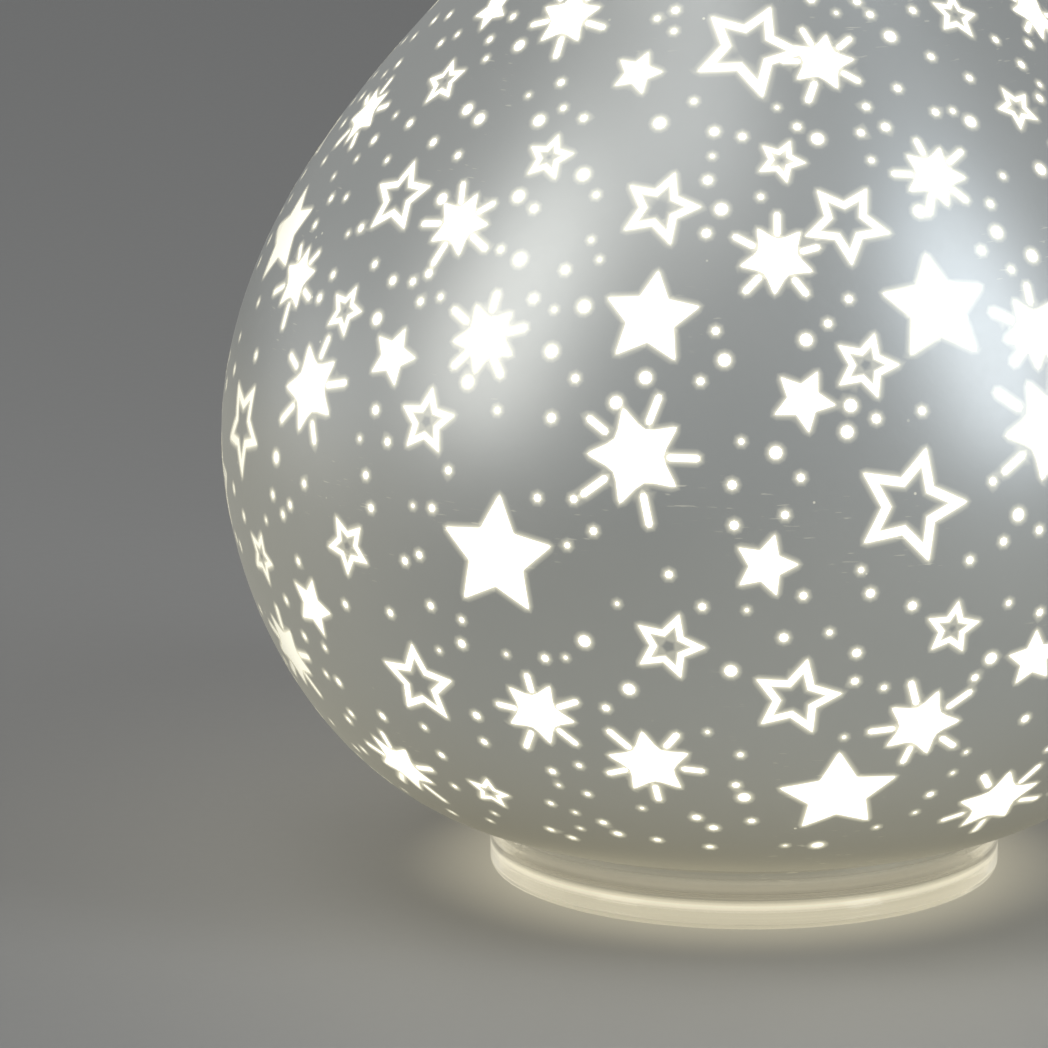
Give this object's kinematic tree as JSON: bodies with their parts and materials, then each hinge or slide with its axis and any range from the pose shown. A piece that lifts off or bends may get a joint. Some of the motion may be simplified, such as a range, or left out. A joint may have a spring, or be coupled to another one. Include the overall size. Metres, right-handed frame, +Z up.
{
  "type": "glass drop lamp",
  "caption": "Drop-shaped blown-glass lamp in satin silver with glowing stars and dots, on a clear collar; a battery light unit plugs in from below.",
  "frame": {"origin": "centre of the glass rim's circle on the surface the lamp stands on", "axes": "+Z up along the glass drop's axis to its tip; +X along the battery cells, away from the battery door's hinge; +Y towards the switch; the picture looks along +Y"},
  "size_m": [0.18, 0.18, 0.24],
  "materials": {
    "silver_glass": "satin silver coating on blown glass, stars left clear, clear collar",
    "white_plastic": "fine moulded texture",
    "milky_plastic": "milky, lit from inside",
    "soft_rubber": "matt silicone",
    "white_board": "white lacquered circuit board",
    "green_board": "green lacquered circuit board",
    "black_plastic": "satin",
    "red_plastic": "soft wire insulation",
    "steel": "plated",
    "nickel": "nickel plated strip",
    "aluminium": "satin",
    "cell_jacket": "plain foil jacket",
    "led_glow": "clear domed lens, lit"
  },
  "bodies": {
    "light_unit": {"base_housing": "white_plastic", "seal_ring": "soft_rubber", "top_cover": "white_plastic", "cover_screw_1": "steel", "cover_screw_2": "steel", "cover_screw_3": "steel", "diffuser_dome": "milky_plastic", "led_board": "white_board", "board_screw_1": "steel", "board_screw_2": "steel", "led_1": "led_glow", "led_2": "led_glow", "led_3": "led_glow", "led_4": "led_glow", "led_5": "led_glow", "led_6": "led_glow", "control_board": "green_board", "timer_chip": "black_plastic", "capacitor": "aluminium", "resistor": "black_plastic", "switch_body": "steel", "battery_1": "cell_jacket", "battery_2": "cell_jacket", "battery_3": "cell_jacket", "contact_spring_1": "steel", "contact_spring_2": "steel", "contact_spring_3": "steel", "bridge_plate_1": "nickel", "bridge_plate_2": "nickel", "terminal_minus": "nickel", "terminal_plus": "nickel", "battery_lead_minus": "black_plastic", "battery_lead_plus": "red_plastic", "switch_lead": "white_plastic", "led_lead_minus": "black_plastic", "led_lead_plus": "red_plastic"},
    "glass": {"glass_drop": "silver_glass"},
    "door": {"battery_door": "white_plastic"},
    "knob": {"switch_knob": "black_plastic"}
  },
  "joints": [
    {"name": "glass_lift", "type": "slide", "parent": "light_unit", "child": "glass", "axis": [0, 0, 1], "range_m": [0, 0.07]},
    {"name": "door_swing", "type": "hinge", "parent": "light_unit", "child": "door", "pos_m": [-0.027, 0, 0.0036], "axis": [0, 1, 0], "range_deg": [0, 90]},
    {"name": "switch_slide", "type": "slide", "parent": "light_unit", "child": "knob", "axis": [1, 0, 0], "range_m": [0, 0.004]}
  ]
}
